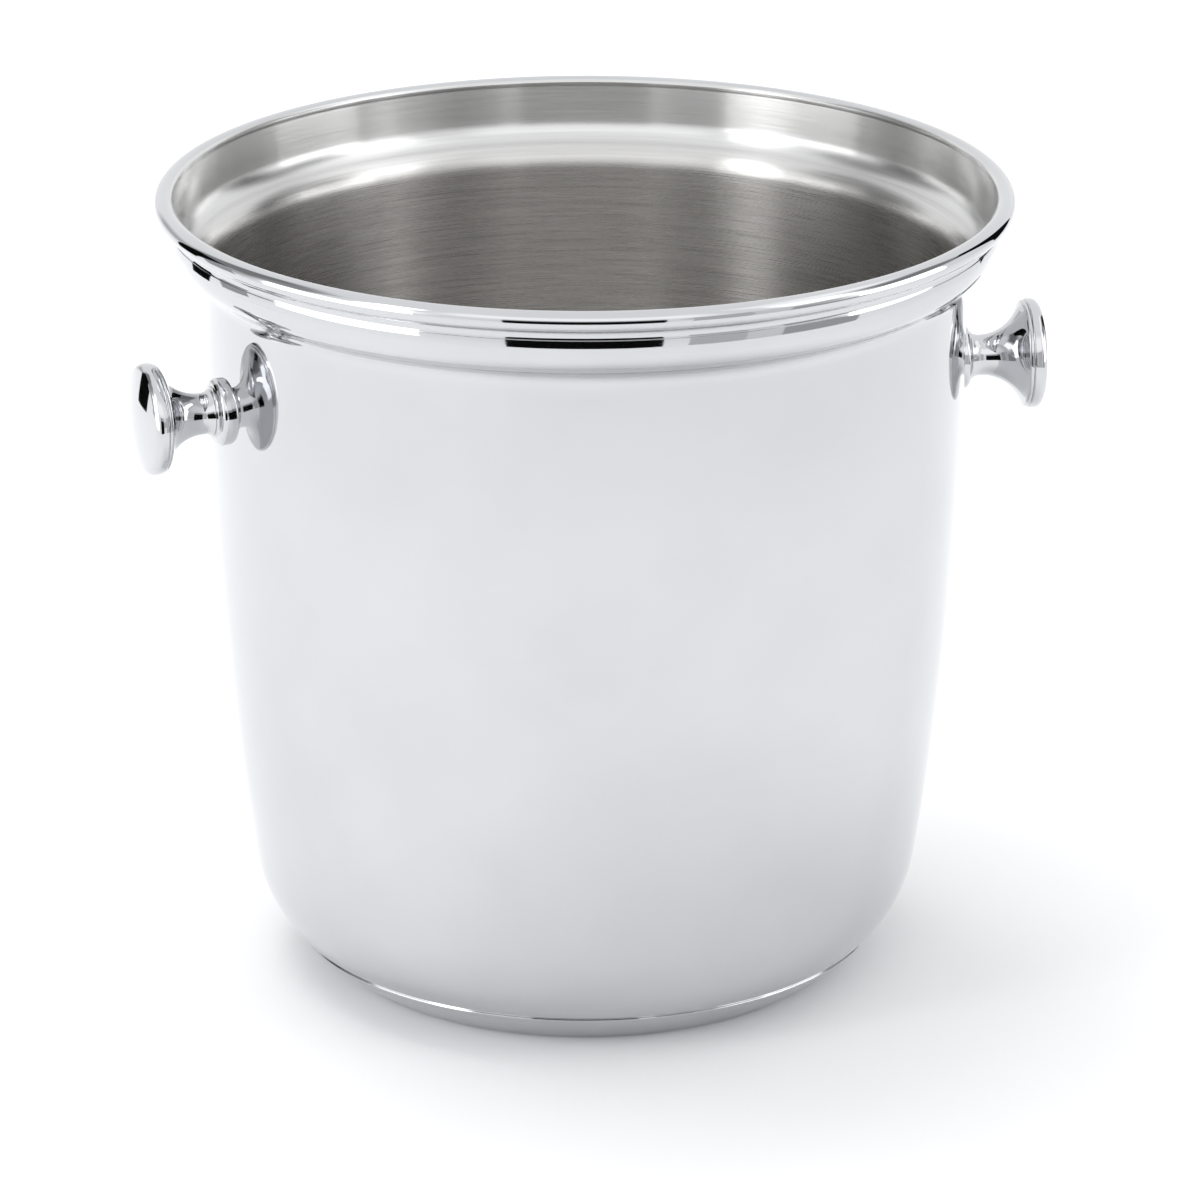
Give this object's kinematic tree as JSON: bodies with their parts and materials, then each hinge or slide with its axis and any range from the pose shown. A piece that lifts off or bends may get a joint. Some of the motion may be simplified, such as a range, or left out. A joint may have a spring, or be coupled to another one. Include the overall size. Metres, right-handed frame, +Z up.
{
  "type": "champagne bucket",
  "caption": "Round metal champagne bucket with a moulded rim, a low foot ring and two mushroom-shaped side knobs; it holds ice and a bottle.",
  "frame": {"origin": "on the bowl's axis, on the surface that the foot ring stands on", "axes": "+Z up along the bowl's axis; +X towards the right knob, both knobs lying 6.2 degrees forward of X, towards -Y"},
  "size_m": [0.24, 0.22, 0.2082],
  "materials": {
    "bowl_metal": "mirror polish outside, circular satin brushing inside",
    "polished_metal": "mirror polish",
    "screw_steel": "turned",
    "seal_rubber": "matt"
  },
  "bodies": {
    "root": {"bowl": "bowl_metal", "rim_moulding": "polished_metal", "foot_ring": "polished_metal", "left_collar": "polished_metal", "left_knob_stem": "polished_metal", "left_knob_cap": "polished_metal", "left_knob_screw": "screw_steel", "left_screw_washer": "screw_steel", "left_screw_seal": "seal_rubber", "right_collar": "polished_metal", "right_knob_stem": "polished_metal", "right_knob_cap": "polished_metal", "right_knob_screw": "screw_steel", "right_screw_washer": "screw_steel", "right_screw_seal": "seal_rubber"}
  },
  "joints": []
}
